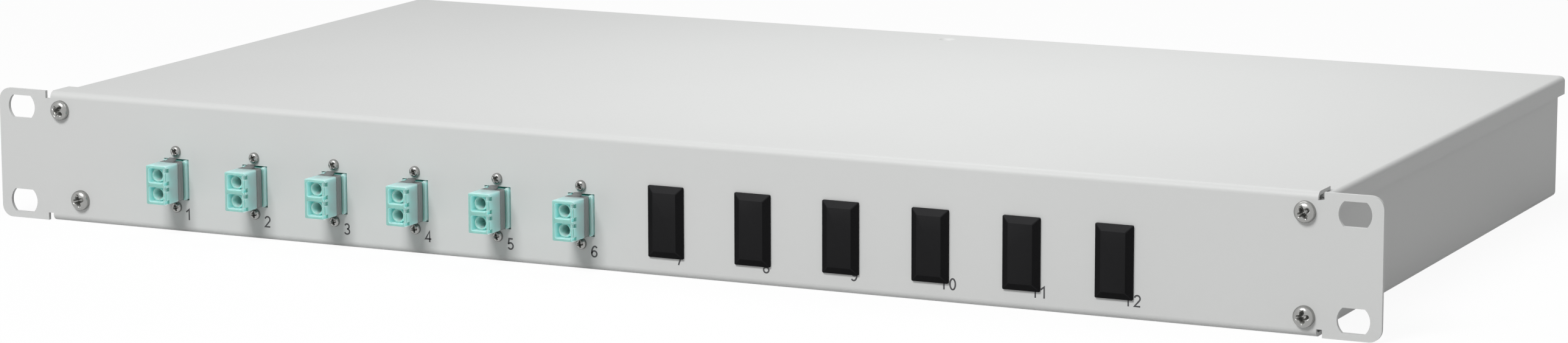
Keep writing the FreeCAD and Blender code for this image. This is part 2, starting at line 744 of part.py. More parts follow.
def make_cassette():
    """Shallow round-cornered dish with a hole for its stud and two fibre inlets at each long side."""
    body = new_body("splice_cassette")
    inner_width = "(cassette_width - 2 * cassette_wall)"
    inner_length = "(cassette_length - 2 * cassette_wall)"
    add_upright(body, TRAY_FLOOR, CASSETTE_TOP,
                centred("cassette_width", "cassette_length", "0", "cassette_centre"))
    cut_upright(body, CASSETTE_FLOOR, CASSETTE_TOP,
                centred(inner_width, inner_length, "0", "cassette_centre"))
    fillet(body, "cassette_corner - cassette_wall", *cassette_corners(inner_width, inner_length))
    fillet(body, "cassette_corner", *cassette_corners("cassette_width", "cassette_length"))
    cut_between(body, "cassette_centre - cassette_length / 2", "cassette_centre + cassette_length / 2", *[
        rectangle(f"cassette_inlet_pitch / {side} - cassette_inlet / 2",
                  f"cassette_inlet_pitch / {side} + cassette_inlet / 2", CASSETTE_FLOOR, CASSETTE_TOP)
        for side in (2, -2)])
    cut_upright(body, TRAY_FLOOR, CASSETTE_FLOOR, disc("stud_across + 2 * stud_gap", "0", "cassette_centre"))
    return body


def make_cover():
    body = new_body("cassette_cover")
    add_upright(body, CASSETTE_TOP, f"{CASSETTE_TOP} + cover_sheet",
                centred("cassette_width", "cassette_length", "0", "cassette_centre"))
    fillet(body, "cassette_corner", *cassette_corners("cassette_width", "cassette_length"))
    return body


def make_comb():
    """Block with parallel grooves that grip the splice sleeves."""
    body = new_body("splice_comb")
    top = f"({CASSETTE_FLOOR} + comb_height)"
    add_upright(body, CASSETTE_FLOOR, top, centred("comb_width", "comb_length"))
    cut_upright(body, f"{CASSETTE_FLOOR} + comb_floor", top,
                *[centred("comb_groove", "comb_length", f"{step} * comb_groove_pitch")
                  for step in COMB_STEPS])
    return body


def make_stud():
    body = new_body("cassette_stud")
    add_upright(body, TRAY_FLOOR, f"{TRAY_FLOOR} + stud_length", disc("stud_across", "0", "cassette_centre"))
    return body


def make_cassette_nut():
    body = new_body("cassette_nut")
    add_upright(body, CASSETTE_FLOOR, f"{CASSETTE_FLOOR} + cassette_nut_height",
                hexagon("cassette_nut_flats", "0", "cassette_centre"),
                disc("stud_across + 2 * stud_gap", "0", "cassette_centre"))
    return body


def make_guide():
    """Open square clip that holds a loop of fibres."""
    body = new_body("fibre_guide")
    add_between(body, "guide_width / -2", "guide_width / 2",
                open_band("(guide_across / 2)", TRAY_FLOOR, f"({TRAY_FLOOR} + guide_across)",
                          "guide_wall", "guide_mouth"))
    return body


def main():
    adapter = make_adapter()
    clip = make_clip()
    plug = make_plug()
    plate_screw = make_plate_screw()
    small_screw = make_small_screw()
    comb = make_comb()
    guide = make_guide()

    nodes = [make_front_plate(), make_tray(), make_lid()]
    nodes.append(grouped("front_plate_screws", [
        placed(plate_screw, f"front_plate_screw_{number}", across, "0", up)
        for number, (across, up) in enumerate(plate_screw_spots(), start=1)]))
    for position in ADAPTERS:
        spot = {"across": port_across(position), "up": "port_row_up"}
        nodes.append(placed(adapter, f"adapter_{position}", **spot))
        nodes.append(placed(clip, f"adapter_clip_{position}", **spot))
    nodes.append(grouped("adapter_screws", [
        placed(small_screw, "adapter_screw_copy", port_across(position), "0",
               f"port_row_up {side} port_screw_pitch / 2")
        for position in ADAPTERS for side in "+-"]))
    for position in PLUGS:
        nodes.append(placed(plug, f"blank_plug_{position}", port_across(position), "0", "port_row_up"))
    nodes.extend(make_gland())
    nodes.append(make_stopper())
    nodes.extend([make_cassette(), make_cover()])
    nodes.append(grouped("splice_combs", [placed(comb, "comb", across, "cassette_centre")
                                          for across in ("comb_offset", minus("comb_offset"))]))
    nodes.extend([make_stud(), make_cassette_nut()])
    nodes.append(grouped("fibre_guides", [placed(guide, "guide", across, back)
                                          for across in ("guide_spot_across", minus("guide_spot_across"))
                                          for back in ("guide_front_spot", "guide_rear_spot")]))
    doc.recompute()
    write(nodes)


def write(nodes):
    """Check every object, then write each piece under its label."""
    failed = [item.Label for item in doc.Objects if {"Invalid", "Error"} & set(item.State)]
    failed += [node.Label for node in nodes if node.Shape.isNull() or not node.Shape.isValid()]
    if failed:
        raise RuntimeError("failed: " + ", ".join(failed))
    os.makedirs("parts", exist_ok=True)
    for node in nodes:
        node.Shape.exportStep(f"parts/{node.Label}.step")
        print(node.Label, len(node.Shape.Solids), round(node.Shape.Volume, 1))


main()
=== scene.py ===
import json
import math

import bmesh
import bpy
import numpy as np
from bpy.props import FloatProperty, FloatVectorProperty, PointerProperty
from mathutils import Matrix, Vector


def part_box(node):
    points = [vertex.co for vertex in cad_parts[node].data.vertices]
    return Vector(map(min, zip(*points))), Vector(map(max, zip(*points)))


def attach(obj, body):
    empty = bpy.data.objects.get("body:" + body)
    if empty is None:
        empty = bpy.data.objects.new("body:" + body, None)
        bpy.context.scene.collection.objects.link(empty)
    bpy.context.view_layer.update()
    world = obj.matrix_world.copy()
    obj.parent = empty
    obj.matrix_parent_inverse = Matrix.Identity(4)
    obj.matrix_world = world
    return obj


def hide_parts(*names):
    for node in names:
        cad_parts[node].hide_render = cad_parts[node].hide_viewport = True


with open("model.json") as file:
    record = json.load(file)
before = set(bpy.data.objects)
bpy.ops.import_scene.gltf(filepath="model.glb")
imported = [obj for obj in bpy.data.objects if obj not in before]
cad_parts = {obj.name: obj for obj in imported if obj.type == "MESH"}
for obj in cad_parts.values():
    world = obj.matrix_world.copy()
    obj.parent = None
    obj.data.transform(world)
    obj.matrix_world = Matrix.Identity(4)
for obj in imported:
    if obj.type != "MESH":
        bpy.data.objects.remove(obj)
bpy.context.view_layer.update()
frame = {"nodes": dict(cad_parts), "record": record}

bl_info = {
    "name": "Fibre patch panel",
    "version": (1, 0, 0),
    "blender": (4, 5, 0),
    "location": "View3D > Sidebar > Patch panel",
    "description": "Fine pieces, finishes and a stage for a one-unit fibre patch panel",
    "category": "Object",
}

# Lengths below are in millimetres in the frame of the CAD model, unless a comment says otherwise:
# +X right along the front, +Y back into the rack, +Z up.
MM = 0.001

SLOT_OF = {part["node"]: part["material_slot"] for part in frame["record"]["subparts"]}
PORTS = range(1, 13)
ADAPTERS = range(1, 7)
PLUGS = range(7, 13)


def box_mm(node):
    """Lowest and highest corner of a CAD node in millimetres."""
    low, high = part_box(node)
    return np.array(low) / MM, np.array(high) / MM


def points_of(mesh):
    """Points of a mesh, one row each."""
    flat = np.empty(len(mesh.vertices) * 3)
    mesh.vertices.foreach_get("co", flat)
    return flat.reshape(-1, 3)


def middle_of(points):
    """Middle of the box round some points."""
    return (points.min(0) + points.max(0)) / 2


def port_middle(number):
    """X and Z of a numbered position's middle, from the CAD node that fills it."""
    low, high = box_mm(f"adapter_{number}" if number in ADAPTERS else f"blank_plug_{number}")
    return (low[0] + high[0]) / 2, (low[2] + high[2]) / 2


PLATE_FRONT = box_mm("front_plate")[0][1]
FLOOR_UP = box_mm("front_plate")[0][2]


def plate_screw_spots():
    """X and Z of the four front plate screws, one in each quarter of the plate."""
    points = points_of(frame["nodes"]["front_plate_screws"].data) / MM
    spots = []
    for side in (-1, 1):
        for up in (-1, 1):
            quarter = points[(points[:, 0] * side > 0) & (points[:, 2] * up > 0)]
            spots.append(middle_of(quarter)[[0, 2]])
    return spots


def adapter_screw_spots():
    """X and Z of the screws above and below each adapter."""
    points = points_of(frame["nodes"]["adapter_screws"].data) / MM
    row = port_middle(1)[1]
    heights = [middle_of(points[(points[:, 2] - row) * up > 0])[2] for up in (-1, 1)]
    return [(port_middle(number)[0], height) for number in ADAPTERS for height in heights]


# Sizes and colours that a user may change

def srgb(text):
    """Linear red, green and blue of an sRGB hex colour."""
    coded = np.array([int(text[i:i + 2], 16) for i in (1, 3, 5)]) / 255
    return tuple(np.where(coded <= 0.04045, coded / 12.92, ((coded + 0.055) / 1.055) ** 2.4))


def length(name, description, default):
    """Length property, with its default given in millimetres."""
    return FloatProperty(name=name, description=description, default=default * MM, min=0.0,
                         unit="LENGTH", precision=5)


def colour(name, description, default):
    """Colour property, with its default given as an sRGB hex value."""
    return FloatVectorProperty(name=name, description=description, subtype="COLOR", size=3,
                               min=0.0, max=1.0, default=srgb(default))


class PanelSizes(bpy.types.PropertyGroup):
    """Sizes of the fine pieces."""
    plate_screw_head: length("Plate screw head", "Width of the plate screws' heads", 6.7)
    plate_screw_rise: length("Plate screw rise", "How far those heads stand proud", 2.4)
    plate_screw_shank: length("Plate screw shank", "Width of their shanks", 3.5)
    adapter_screw_head: length("Adapter screw head", "Width of the adapter screws' heads", 3.6)
    adapter_screw_rise: length("Adapter screw rise", "How far those heads stand proud", 1.5)
    adapter_screw_shank: length("Adapter screw shank", "Width of their shanks", 2.0)
    adapter_nut_flats: length("Adapter nut", "Width of their nuts across the flats", 4.0)
    adapter_nut_height: length("Nut height", "Height of those nuts", 1.6)
    block_width: length("Adapter width", "Width of an adapter's block", 7.5)
    block_height: length("Adapter height", "Height of an adapter's block", 12.9)
    block_length: length("Adapter block", "Depth of the block in front of the clip", 7.7)
    block_round: length("Adapter edge", "Rounding of an adapter's moulded edges", 0.3)
    neck_step: length("Adapter neck", "Set-in of the neck under the clip", 0.4)
    collar_reach: length("Collar", "How far the collar stands out of the plate", 1.6)
    collar_width: length("Collar width", "Width of the collar in its cut-out", 9.0)
    collar_height: length("Collar height", "Height of the collar in its cut-out", 13.2)
    flange_depth: length("Flange", "Thickness of the screw flange", 1.8)
    fibre_pitch: length("Fibre pitch", "Distance between an adapter's fibres", 6.25)
    port_width: length("Port width", "Width of a connector's socket", 5.3)
    port_height: length("Port height", "Height of a connector's socket", 4.7)
    port_depth: length("Port depth", "Depth of a connector's socket", 8.4)
    barrel_width: length("Barrel", "Width of the ferrule barrel in a socket", 4.6)
    barrel_hole: length("Barrel hole", "Width of the hole in that barrel", 3.5)
    barrel_reach: length("Barrel reach", "How far the barrel comes forward", 7.0)
    clip_sheet: length("Clip sheet", "Thickness of the spring clip", 0.3)
    clip_rib: length("Clip ribs", "Height of the clip's ribs", 0.1)
    plug_bevel: length("Plug bevel", "Width of the bevel round a blanking plug's face", 2.1)
    plug_slope: length("Plug slope", "How far that bevel falls back", 1.1)
    plug_set: length("Plug set-back", "How far a plug's face is drawn below the solid's", 0.8)
    plug_edge: length("Plug edge", "Rounding of a plug's moulded edges", 0.25)
    plug_wall: length("Plug wall", "Thickness of a plug's skirt", 1.2)
    cap_bore: length("Cap bore", "Width of the gland cap's bore", 18.2)
    cap_mouth: length("Cap mouth", "Width of the hole in the cap's end", 12.6)
    cap_wall: length("Cap wall", "Thickness of the cap's end", 2.5)
    cap_dome: length("Cap dome", "Rounding of the cap's end", 3.0)
    nut_edge: length("Nut edge", "Rounding of moulded nuts and the stopper", 0.5)
    tray_edge: length("Cassette edge", "Rounding of the combs and guides", 0.25)
    cover_gap: length("Cover gap", "Height of the cassette's cover over the rim", 0.03)
    number_height: length("Number height", "Height of the printed port numbers", 3.7)
    number_up: length("Number drop", "Drop of the numbers below the row", 11.5)
    number_across: length("Number shift", "How far one-figure numbers are to the right", 4.5)
    number_wide: length("Wide number shift", "How far two-figure numbers are to the right", 5.9)
    number_stroke: length("Number stroke", "Width of the numbers' strokes", 0.52)


class PanelColours(bpy.types.PropertyGroup):
    """Colours of the finishes."""
    paint: colour("Paint", "Powder coat on the sheet steel", "#CDCECD")
    adapter: colour("Adapter", "Moulded adapter bodies", "#B9F6EE")
    # Painted shade: the adapters' front faces take this duller tone in place of the shade on them
    adapter_front: colour("Adapter front", "Front faces of the adapters", "#8CB8B0")
    clip: colour("Clip", "Spring steel clips", "#A3A6A6")
    zinc: colour("Zinc", "Plated screws", "#A6A6A4")
    black: colour("Black plastic", "Blanking plugs and stopper", "#171718")
    # Painted light: the plugs' front faces and the upward faces of black plastic take these greyer
    # tones in place of the light on them
    black_front: colour("Black plastic front", "Front faces of the plugs", "#212122")
    black_top: colour("Black plastic top", "Faces of black plastic that look up", "#2C2C2D")
    ink: colour("Ink", "Printed numbers", "#4A4A4C")
    gland: colour("Gland", "Cable gland", "#7C8083")
    rubber: colour("Rubber", "Gland seal", "#1D1D1E")
    cassette: colour("Cassette", "Splice cassette", "#D9D8D2")
    clear: colour("Clear plastic", "Cassette cover", "#EEF2F3")
    comb: colour("Comb", "Splice combs and fibre guides", "#3B3C3E")


class Millimetres:
    """Lengths of a property group under the same names, in millimetres."""

    def __init__(self, group):
        for name in group.__annotations__:
            setattr(self, name, getattr(group, name) / MM)


def sizes():
    """Sizes of the fine pieces in millimetres, as they are set now."""
    return Millimetres(bpy.context.scene.panel_sizes)


def colours():
    """Colours of the finishes, as they are set now."""
    return bpy.context.scene.panel_colours


# Finishes

def add(tree, kind, inputs=None, **settings):
    """Add a node: settings are its own properties, inputs are values or sockets to link."""
    node = tree.nodes.new(kind)
    for name, setting in settings.items():
        setattr(node, name, setting)
    for name, source in (inputs or {}).items():
        if isinstance(source, bpy.types.NodeSocket):
            tree.links.new(source, node.inputs[name])
        else:
            node.inputs[name].default_value = source
    return node


def new_material(name):
    """Material with an empty node tree."""
    material = bpy.data.materials.new(name)
    material.use_nodes = True
    material.node_tree.nodes.clear()
    return material


def patterned(name, base, grain, dark, rough, bump=None, clouds=None, pits=None, stretch=None,
              painted_light_and_shade=(), **inputs):
    """Material whose tone, roughness and bump follow noises on the object's own coordinates.

    Grain, clouds and pits are noises: each has a width in millimetres, a detail and maybe a twist.
    The roughness runs over the grain between two values. The tone runs over the clouds, or else
    the grain, from a dark part of the base to the whole of it, and goes over to another colour of
    painted light and shade on faces that look along an axis. The bump follows the pits, or else
    the grain, and has a depth in millimetres and a strength.
    """
    material = new_material(name)
    tree = material.node_tree
    shader = add(tree, "ShaderNodeBsdfPrincipled", {"Base Color": (*base, 1.0), **inputs})
    add(tree, "ShaderNodeOutputMaterial", {"Surface": shader.outputs["BSDF"]})
    place = add(tree, "ShaderNodeTexCoord").outputs
    vector = place["Object"]
    if stretch:
        along = add(tree, "ShaderNodeMapping", {"Vector": vector, "Scale": stretch})
        vector = along.outputs["Vector"]
    shares = []
    for pattern in (grain, clouds, pits):
        if pattern:
            noise = add(tree, "ShaderNodeTexNoise", {
                "Vector": vector, "Scale": 1 / (pattern["width"] * MM),
                "Detail": pattern["detail"], "Distortion": pattern.get("twist", 0.0)})
            shares.append(noise.outputs["Fac"])
        else:
            shares.append(shares[0])
    by_grain, by_clouds, by_pits = shares
    low = (*(part * dark for part in base), 1.0)
    tone = add(tree, "ShaderNodeMix", {"Factor": by_clouds, "A": low, "B": (*base, 1.0)},
               data_type="RGBA").outputs["Result"]
    # Painted light and shade: faces that look along an axis take another tone in place of the light
    # or shade on them
    for other, axis, start, full in painted_light_and_shade:
        normal = add(tree, "ShaderNodeSeparateXYZ", {"Vector": place["Normal"]})
        turned = add(tree, "ShaderNodeMapRange", {
            "Value": normal.outputs[axis], "From Min": start, "From Max": full})
        tone = add(tree, "ShaderNodeMix", {
            "Factor": turned.outputs["Result"], "A": tone, "B": (*other, 1.0)},
            data_type="RGBA").outputs["Result"]
    tree.links.new(tone, shader.inputs["Base Color"])
    least, most = rough
    spread = add(tree, "ShaderNodeMapRange", {"Value": by_grain, "To Min": least, "To Max": most})
    tree.links.new(spread.outputs["Result"], shader.inputs["Roughness"])
    if bump:
        depth, strength = bump
        dents = add(tree, "ShaderNodeBump", {
            "Height": by_pits, "Distance": depth * MM, "Strength": strength})
        tree.links.new(dents.outputs["Normal"], shader.inputs["Normal"])
    return material


def powder_coat():
    """Sprayed and baked powder on steel: a matt pale grey with a fine orange-peel grain."""
    # Such grit is about 0.3 mm; it is drawn at 0.9 mm so that it shows
    return patterned("powder_coat_on_steel", colours().paint, dict(width=0.9, detail=2.0),
                     clouds=dict(width=70.0, detail=1.0), dark=0.965, rough=(0.46, 0.6),
                     bump=(0.03, 0.35), IOR=1.5)


def moulded_aqua():
    """Injection-moulded polymer with a faint flow of tone: satin, slightly milky."""
    # The front faces' duller tone is painted shade, set to match the photo. The front
    # faces' duller tone is set to match the photo, and its cause isn't known
    return patterned("moulded_aqua_polymer", colours().adapter,
                     dict(width=6.0, detail=3.0, twist=0.6), pits=dict(width=0.25, detail=2.0),
                     dark=0.9, rough=(0.3, 0.42), bump=(0.01, 0.3),
                     painted_light_and_shade=[(colours().adapter_front, "Y", -0.4, -0.8)],
                     **{"IOR": 1.55, "Subsurface Weight": 1.0,
                        "Subsurface Radius": (0.6, 1.0, 0.97), "Subsurface Scale": 5 * MM})


def spring_steel():
    """Rolled stainless strip: grey metal with fine scratches along the roll."""
    return patterned("rolled_spring_steel", colours().clip, dict(width=0.2, detail=4.0),
                     stretch=(1.0, 1.0, 0.06), dark=0.62, rough=(0.24, 0.44),
                     bump=(0.008, 0.4), Metallic=1.0)


def bright_zinc():
    """Electroplated zinc, passivated clear: bright, with small cloudy patches."""
    return patterned("bright_zinc_plate", colours().zinc, dict(width=1.6, detail=3.0),
                     dark=0.8, rough=(0.16, 0.32), bump=(0.01, 0.25), Metallic=1.0)


def black_moulding():
    """Spark-eroded mould texture on black polymer: deep and matt, greyer on its front and top by
    painted light.
    """
    # Such pits are about 0.1 mm; they are drawn at 0.5 mm so that they show.
    # The greyer tones on the front and top are painted light, set to match the photo.
    # The greyer tones are set to match the photo, and their cause isn't known.
    return patterned("spark_textured_black_polymer", colours().black,
                     dict(width=0.5, detail=3.0), dark=0.75, rough=(0.42, 0.62),
                     bump=(0.03, 0.5), painted_light_and_shade=[(colours().black_front, "Y", -0.92, -0.98),
                                               (colours().black_top, "Z", 0.1, 0.4)],
                     **{"IOR": 1.5, "Specular IOR Level": 0.03})


def screen_ink():
    """Screen-printed ink: dark grey, thinner in small spots where the paint shows through."""
    return patterned("screen_printed_ink", colours().ink, dict(width=0.4, detail=2.0),
                     dark=0.7, rough=(0.45, 0.6), IOR=1.48)


def grey_polyamide():
    """Moulded polyamide: mid grey, satin, with a faint grain from the mould."""
    return patterned("moulded_grey_polyamide", colours().gland, dict(width=0.7, detail=3.0),
                     dark=0.88, rough=(0.38, 0.52), bump=(0.02, 0.4), IOR=1.53)


def seal_rubber():
    """Pressed rubber: black and dull, with a dusty grain."""
    return patterned("pressed_black_rubber", colours().rubber, dict(width=0.9, detail=4.0),
                     dark=0.6, rough=(0.7, 0.88), bump=(0.03, 0.4), IOR=1.5)


def pale_polymer():
    """Moulded pale polymer of the cassette: warm white and satin."""
    return patterned("moulded_pale_polymer", colours().cassette, dict(width=0.8, detail=2.0),
                     clouds=dict(width=18.0, detail=2.0), dark=0.94, rough=(0.38, 0.5),
                     bump=(0.02, 0.3), IOR=1.53)


def clear_sheet():
    """Clear sheet with a hint of haze: it veils what lies under it, and lets the light through."""
    return patterned("clear_polycarbonate_sheet", colours().clear, dict(width=25.0, detail=3.0),
                     dark=0.9, rough=(0.05, 0.16), IOR=1.58, Alpha=0.2)


def dark_nylon():
    """Moulded dark nylon: charcoal, satin."""
    return patterned("moulded_dark_nylon", colours().comb, dict(width=0.6, detail=3.0),
                     dark=0.82, rough=(0.42, 0.58), bump=(0.02, 0.35), IOR=1.53)


FINISHES = {
    "grey_paint": powder_coat, "adapter_plastic": moulded_aqua, "clip_steel": spring_steel,
    "screw_steel": bright_zinc, "plug_plastic": black_moulding, "gland_plastic": grey_polyamide,
    "seal_rubber": seal_rubber, "cassette_plastic": pale_polymer, "clear_plastic": clear_sheet,
    "comb_plastic": dark_nylon, "ink": screen_ink,
}
MADE = {}


def finish_of(slot):
    """Material for a slot of the record, made on its first use."""
    if slot not in MADE:
        MADE[slot] = FINISHES[slot]()
    return MADE[slot]


def dress(*nodes):
    """Give CAD nodes the finish of their slots."""
    for node in nodes:
        piece = frame["nodes"][node]
        piece.data.materials.clear()
        piece.data.materials.append(finish_of(SLOT_OF[node]))


# Surfaces: each is a pair of points, one row each, and faces as lists of point numbers

def full_turn(count):
    """Evenly spaced angles of one turn."""
    return np.linspace(0, 2 * np.pi, count, endpoint=False)


def grid(rings, round_rows=False):
    """Surface through a stack of rings, each a closed line with the same number of points."""
    number = np.arange(rings.shape[0] * rings.shape[1]).reshape(rings.shape[:2])
    after = np.roll(number, -1, 1)
    quads = np.stack((number, after, np.roll(after, -1, 0), np.roll(number, -1, 0)), -1)
    if not round_rows:
        quads = quads[:-1]
    return rings.reshape(-1, 3), quads.reshape(-1, 4).tolist()


def capped(rings, first=True):
    """Surface through a stack of rings, with a flat face over the last and maybe the first."""
    points, faces = grid(rings)
    count = rings.shape[1]
    if first:
        faces.append(list(range(count)))
    faces.append(list(range(len(points) - count, len(points))))
    return points, faces


def joined(surfaces):
    """Several surfaces as one."""
    points, faces, start = [], [], 0
    for some_points, some_faces in surfaces:
        points.append(some_points)
        faces.extend([[start + number for number in face] for face in some_faces])
        start += len(some_points)
    return np.concatenate(points), faces


def moved(surface, across, up):
    """Surface shifted along X and Z."""
    points, faces = surface
    return points + np.array((across, 0.0, up)), faces


def upside_down(surface):
    """Surface mirrored in Z."""
    points, faces = surface
    return points * np.array((1, 1, -1)), faces


def outline(width, height, upper, lower=None, middle=0.0, steps=4):
    """Rectangle with rounded corners: four quarter circles round its inset corners.

    The two upper corners have one radius and the two lower ones another.
    """
    lower = upper if lower is None else lower
    angle = np.arange(4)[:, None] * np.pi / 2 + np.linspace(0, np.pi / 2, steps + 1)
    radius = np.array((upper, upper, lower, lower))[:, None]
    right = np.array((1, -1, -1, 1))[:, None]
    top = np.array((1, 1, -1, -1))[:, None]
    across = right * (width / 2 - radius) + radius * np.cos(angle)
    up = top * (height / 2 - radius) + radius * np.sin(angle)
    return np.stack((across.ravel(), up.ravel() + middle), 1)


def ring_at(line, back):
    """Line in X and Z as points at one depth."""
    return np.stack((line[:, 0], np.full(len(line), back), line[:, 1]), 1)


def stack(*stations):
    """Rings from pairs of depth and line."""
    return np.stack([ring_at(line, back) for back, line in stations])


def turned_rings(angle, stations):
    """Rings about Y from pairs of depth and radius, which may vary with the angle."""
    return stack(*[(back, np.stack((radius * np.cos(angle), radius * np.sin(angle)), 1))
                   for back, radius in stations])


# Edges that turn by more than this many degrees stay sharp
CREASE = 35.0
# Edges that turn by more than this many degrees are rounded, in this many steps
SOFT_ANGLE = 25.0
SOFT_STEPS = 3
# Points no further apart than this become one, in a new surface and in a CAD node
JOIN_GAP = 1e-4
WELD_GAP = 1e-3


def clean_mesh(name, points, faces, gap):
    """Mesh with near points merged and all faces turned outwards."""
    mesh = bpy.data.meshes.new(name)
    mesh.from_pydata(points.tolist(), [], faces)
    shell = bmesh.new()
    shell.from_mesh(mesh)
    bmesh.ops.remove_doubles(shell, verts=shell.verts, dist=gap)
    bmesh.ops.dissolve_degenerate(shell, edges=shell.edges, dist=gap)
    bmesh.ops.recalc_face_normals(shell, faces=shell.faces)
    shell.to_mesh(mesh)
    shell.free()
    return mesh


def add_object(name, data):
    """Object with some data, linked to the scene."""
    item = bpy.data.objects.new(name, data)
    bpy.context.scene.collection.objects.link(item)
    return item


def make_piece(name, surface, slot, replaced=(), body="housing", finish=None, crease=CREASE):
    """Piece from a surface in millimetres, shaded softly below a crease."""
    points, faces = surface
    mesh = clean_mesh(name, points * MM, faces, JOIN_GAP * MM)
    mesh.polygons.foreach_set("use_smooth", np.ones(len(mesh.polygons), bool))
    mesh.set_sharp_from_angle(angle=math.radians(crease))
    mesh.materials.append(finish or finish_of(slot))
    piece = add_object(name, mesh)
    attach(piece, body)
    if replaced:
        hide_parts(*replaced)
    return piece


def place_pieces(name, surface, numbers, slot, node, crease=CREASE):
    """The same surface at some numbered positions, each in place of a CAD node."""
    return [make_piece(f"{name}_{number}", moved(surface, *port_middle(number)), slot,
                       [f"{node}_{number}"], crease=crease) for number in numbers]


def soften(piece, width):
    """Join a piece's faces where they meet, and round its sharp edges."""
    weld = piece.modifiers.new("weld", "WELD")
    weld.merge_threshold = WELD_GAP * MM
    bevel = piece.modifiers.new("edge", "BEVEL")
    bevel.width = width * MM
    bevel.segments = SOFT_STEPS
    bevel.limit_method = "ANGLE"
    bevel.angle_limit = math.radians(SOFT_ANGLE)
    bevel.harden_normals = True


# Screws

# How far each screw was turned when it was tightened, in radians
SCREW_TURNS = (0.25, 0.9, 0.1, 0.55)
SCREW_SIDES = 96
# Powers of the sine and cosine that shape a head's dome
DOME_OUT, DOME_UP = 0.9, 0.6
# Cross recess: half width and reach of a bar by the head's width, and its depth by the head's rise
BAR_HALF, BAR_REACH, BAR_DEPTH = 0.115, 0.33, 0.9
GROOVE_SLOPE = 1.4
SHANK_TIP = 0.4
# A nut's straight part and its end's width, as parts of its height and width
NUT_STRAIGHT, NUT_END = 0.8, 0.88
# The nut stops a little short of the shank's end, so that the two end faces stay apart
NUT_SHARE = 0.98


def groove(offset):
    """Depth across a groove: 1 on its narrow floor, then sloping walls to 0 at its edges."""
    return np.clip(GROOVE_SLOPE * (1 - abs(offset)), 0, 1)


def screw_head(head, rise, rows=40):
    """Pan head with a cross recess, over radius and angle.

    The dome is a superellipse. Two crossed grooves with sloping walls are sunk into it, and they
    taper towards their ends.
    """
    lean = np.linspace(0, np.pi / 2, rows)[:, None]
    angle = full_turn(SCREW_SIDES)[None, :]
    radius = head / 2 * np.sin(lean) ** DOME_OUT
    height = rise * np.cos(lean) ** DOME_UP
    across = radius * np.cos(angle)
    up = radius * np.sin(angle)
    bar, reach = BAR_HALF * head, BAR_REACH * head
    upright = groove(across / bar) * groove(up / reach)
    level = groove(up / bar) * groove(across / reach)
    sunk = np.maximum(upright, level) * rise * BAR_DEPTH
    back = PLATE_FRONT - (height - sunk)
    return np.stack((across, back, up), -1)


def shank(width, start, end):
    """Rings of a plain round shank with a bevelled tip."""
    tip = min(SHANK_TIP, (end - start) / 4)
    return turned_rings(full_turn(SCREW_SIDES), (
        (start, width / 2), (end - tip, width / 2), (end, width / 2 - tip)))


def screw(head, rise, width, end, turn):
    """Whole screw as one stack of rings: head, underside and shank, turned in its hole."""
    rings = np.concatenate((screw_head(head, rise), shank(width, PLATE_FRONT, end)))
    across, back, up = np.moveaxis(rings, -1, 0)
    turned = np.stack((across * math.cos(turn) - up * math.sin(turn), back,
                       across * math.sin(turn) + up * math.cos(turn)), -1)
    return capped(turned)


def nut(flats, start, height):
    """Hexagonal nut with bevelled corners."""
    corner = np.arange(6) * np.pi / 3
    line = np.stack((np.cos(corner), np.sin(corner)), 1) * flats / math.sqrt(3)
    return capped(stack((start, line), (start + height * NUT_STRAIGHT, line),
                        (start + height, line * NUT_END)))


class PANEL_OT_screws(bpy.types.Operator):
    """Screws of the front plate and of the adapters, with domed heads and cross recesses"""
    bl_idname = "panel.screws"
    bl_label = "Screws"

    def execute(self, context):
        size = sizes()
        end = box_mm("front_plate_screws")[1][1]
        large = (size.plate_screw_head, size.plate_screw_rise, size.plate_screw_shank, end)
        screws = [moved(screw(*large, turn), *spot)
                  for turn, spot in zip(SCREW_TURNS, plate_screw_spots())]
        make_piece("front_plate_screw_set", joined(screws), "screw_steel", ["front_plate_screws"])
        end = box_mm("adapter_screws")[1][1]
        small = (size.adapter_screw_head, size.adapter_screw_rise, size.adapter_screw_shank, end)
        height = size.adapter_nut_height
        hexagon = nut(size.adapter_nut_flats, end - height, height * NUT_SHARE)
        screws = [moved(joined((screw(*small, turn), hexagon)), *spot)
                  for turn, spot in zip(SCREW_TURNS * 3, adapter_screw_spots())]
        make_piece("adapter_screw_set", joined(screws), "screw_steel", ["adapter_screws"])
        return {"FINISHED"}


# Adapters

# Bevels of a socket's mouth, of the ferrule barrel's end and of the hole in it
LEAD, BARREL_BEVEL, HOLE_BEVEL = 0.35, 0.2, 0.3
MOUTH_CORNER = 0.4
HOLE_DEPTH = 2.0
# Corners of the block, over the rounding of its edges, and of the screw flange
BLOCK_CORNER, WING_CORNER = 0.2, 2.0
# Half way round an edge: how much less wide and how far back it is, by the rounding
MID_LESS, MID_BACK = 0.6, 0.3
# Latch notches: their size, and where they are from the middle of a port
NOTCH_TALL, NOTCH_WIDE, NOTCH_DEEP = 1.3, 0.8, 2.2
NOTCHES_UP = (-2.5, 1.7)
# Channel in the right edge of the face: how far its ends stay from the pitch
CHANNEL_SHORT = 0.5
# Slot for the clip: half its width, and how far it is cut past the collar's top and front
SLOT_HALF, SLOT_TOP, SLOT_FRONT = 3.5, 0.2, 0.3
# How far other cutters reach past what they cut
PAST = 1.0


def shell_line(width, height, radius):
    """Rounded rectangle with a point half way up each side, where the halves of a face meet."""
    line = outline(width, height, radius)
    upper, lower = np.split(line, 2)
    side = np.array(((-width / 2, 0.0),))
    return np.concatenate((upper, side, lower, -side))


